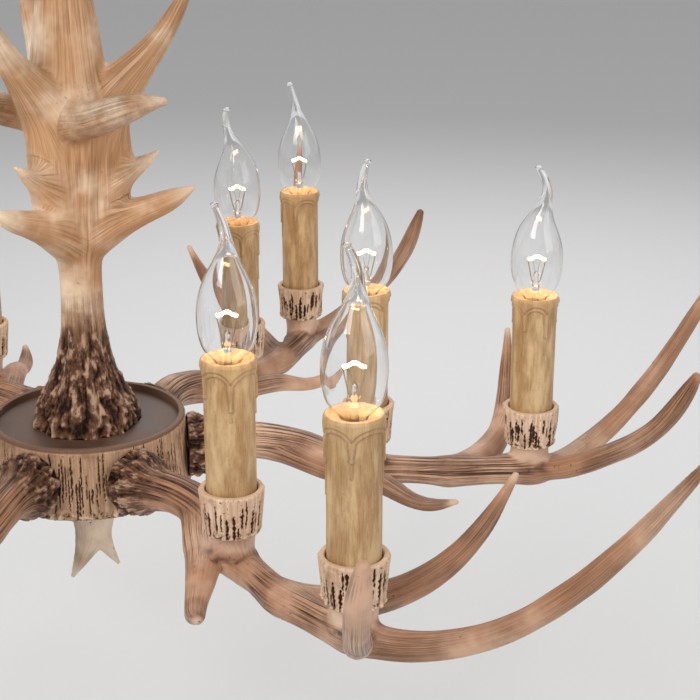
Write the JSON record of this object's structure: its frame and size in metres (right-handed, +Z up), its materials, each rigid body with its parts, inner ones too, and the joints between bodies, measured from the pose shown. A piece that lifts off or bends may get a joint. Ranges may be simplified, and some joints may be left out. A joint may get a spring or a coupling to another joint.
{
  "type": "antler chandelier",
  "caption": "Hanging chandelier of cast antler arms bolted round a bark drum, each arm with candle lamps in cups, an upright antler column and a hanging eye.",
  "frame": {"origin": "centre of the hanging eye's bore, where the light hangs from its hook or chain link", "axes": "+Z up along the central rod; the eye's bore runs along Y"},
  "size_m": [0.9103, 0.9105, 0.4964],
  "materials": {
    "antler_arm": "cast resin, pinkish brown with dark grain, light gloss",
    "antler_column": "cast resin, yellow tan, light gloss",
    "antler_finial": "cast resin, cream with brown specks",
    "bark_cream": "cast resin, cream with dark cracks",
    "brown_paint": "satin brown paint",
    "zinc_steel": "zinc plated",
    "white_plastic": "moulded",
    "lead_sheath": "matt",
    "candle_ochre": "ochre wax look with grain",
    "clear_glass": "clear, polished",
    "lamp_cap": "nickelled"
  },
  "bodies": {
    "chandelier": {"hub_drum": "bark_cream", "inner_candle_cups": "bark_cream", "outer_candle_cups": "bark_cream", "hub_top_plate": "brown_paint", "hub_bottom_plate": "brown_paint", "column_rod": "zinc_steel", "rod_nut": "zinc_steel", "hanging_eye": "brown_paint", "column_antler": "antler_column", "finial_antler": "antler_finial", "terminal_block": "white_plastic", "arm_bolts": "zinc_steel", "arm_leads": "lead_sheath", "lamp_holders": "white_plastic", "threaded_nipples": "zinc_steel", "nipple_lock_nuts": "zinc_steel", "arm_antler_1": "antler_arm", "arm_antler_2": "antler_arm", "arm_antler_3": "antler_arm", "arm_antler_4": "antler_arm", "arm_antler_5": "antler_arm", "arm_antler_6": "antler_arm", "candle_sleeve_01": "candle_ochre", "candle_sleeve_02": "candle_ochre", "candle_sleeve_03": "candle_ochre", "candle_sleeve_04": "candle_ochre", "candle_sleeve_05": "candle_ochre", "candle_sleeve_06": "candle_ochre", "candle_sleeve_07": "candle_ochre", "candle_sleeve_08": "candle_ochre", "candle_sleeve_09": "candle_ochre", "candle_sleeve_10": "candle_ochre", "candle_sleeve_11": "candle_ochre", "candle_sleeve_12": "candle_ochre"},
    "bulb_01": {"bulb_glass_01": "clear_glass", "bulb_base_01": "lamp_cap"},
    "bulb_02": {"bulb_glass_02": "clear_glass", "bulb_base_02": "lamp_cap"},
    "bulb_03": {"bulb_glass_03": "clear_glass", "bulb_base_03": "lamp_cap"},
    "bulb_04": {"bulb_glass_04": "clear_glass", "bulb_base_04": "lamp_cap"},
    "bulb_05": {"bulb_glass_05": "clear_glass", "bulb_base_05": "lamp_cap"},
    "bulb_06": {"bulb_glass_06": "clear_glass", "bulb_base_06": "lamp_cap"},
    "bulb_07": {"bulb_glass_07": "clear_glass", "bulb_base_07": "lamp_cap"},
    "bulb_08": {"bulb_glass_08": "clear_glass", "bulb_base_08": "lamp_cap"},
    "bulb_09": {"bulb_glass_09": "clear_glass", "bulb_base_09": "lamp_cap"},
    "bulb_10": {"bulb_glass_10": "clear_glass", "bulb_base_10": "lamp_cap"},
    "bulb_11": {"bulb_glass_11": "clear_glass", "bulb_base_11": "lamp_cap"},
    "bulb_12": {"bulb_glass_12": "clear_glass", "bulb_base_12": "lamp_cap"}
  },
  "joints": [
    {"name": "bulb_01_unscrew", "type": "hinge", "parent": "chandelier", "child": "bulb_01", "pos_m": [0.10802, -0.1539, -0.27049], "axis": [0, 0, 1], "range_deg": [0, 900]},
    {"name": "bulb_02_unscrew", "type": "hinge", "parent": "chandelier", "child": "bulb_02", "pos_m": [0.17913, -0.24466, -0.26782], "axis": [0, 0, 1], "range_deg": [0, 900]},
    {"name": "bulb_03_unscrew", "type": "hinge", "parent": "chandelier", "child": "bulb_03", "pos_m": [0.18775, 0.01012, -0.2817], "axis": [0, 0, 1], "range_deg": [0, 900]},
    {"name": "bulb_04_unscrew", "type": "hinge", "parent": "chandelier", "child": "bulb_04", "pos_m": [0.30198, 0.02513, -0.28995], "axis": [0, 0, 1], "range_deg": [0, 900]},
    {"name": "bulb_05_unscrew", "type": "hinge", "parent": "chandelier", "child": "bulb_05", "pos_m": [0.09235, 0.16413, -0.2758], "axis": [0, 0, 1], "range_deg": [0, 900]},
    {"name": "bulb_06_unscrew", "type": "hinge", "parent": "chandelier", "child": "bulb_06", "pos_m": [0.13572, 0.27092, -0.2783], "axis": [0, 0, 1], "range_deg": [0, 900]},
    {"name": "bulb_07_unscrew", "type": "hinge", "parent": "chandelier", "child": "bulb_07", "pos_m": [-0.10428, 0.15643, -0.27344], "axis": [0, 0, 1], "range_deg": [0, 900]},
    {"name": "bulb_08_unscrew", "type": "hinge", "parent": "chandelier", "child": "bulb_08", "pos_m": [-0.17468, 0.24766, -0.27364], "axis": [0, 0, 1], "range_deg": [0, 900]},
    {"name": "bulb_09_unscrew", "type": "hinge", "parent": "chandelier", "child": "bulb_09", "pos_m": [-0.18789, -0.00815, -0.27934], "axis": [0, 0, 1], "range_deg": [0, 900]},
    {"name": "bulb_10_unscrew", "type": "hinge", "parent": "chandelier", "child": "bulb_10", "pos_m": [-0.30214, -0.0228, -0.28529], "axis": [0, 0, 1], "range_deg": [0, 900]},
    {"name": "bulb_11_unscrew", "type": "hinge", "parent": "chandelier", "child": "bulb_11", "pos_m": [-0.08254, -0.16891, -0.27462], "axis": [0, 0, 1], "range_deg": [0, 900]},
    {"name": "bulb_12_unscrew", "type": "hinge", "parent": "chandelier", "child": "bulb_12", "pos_m": [-0.12504, -0.27613, -0.27597], "axis": [0, 0, 1], "range_deg": [0, 900]}
  ]
}
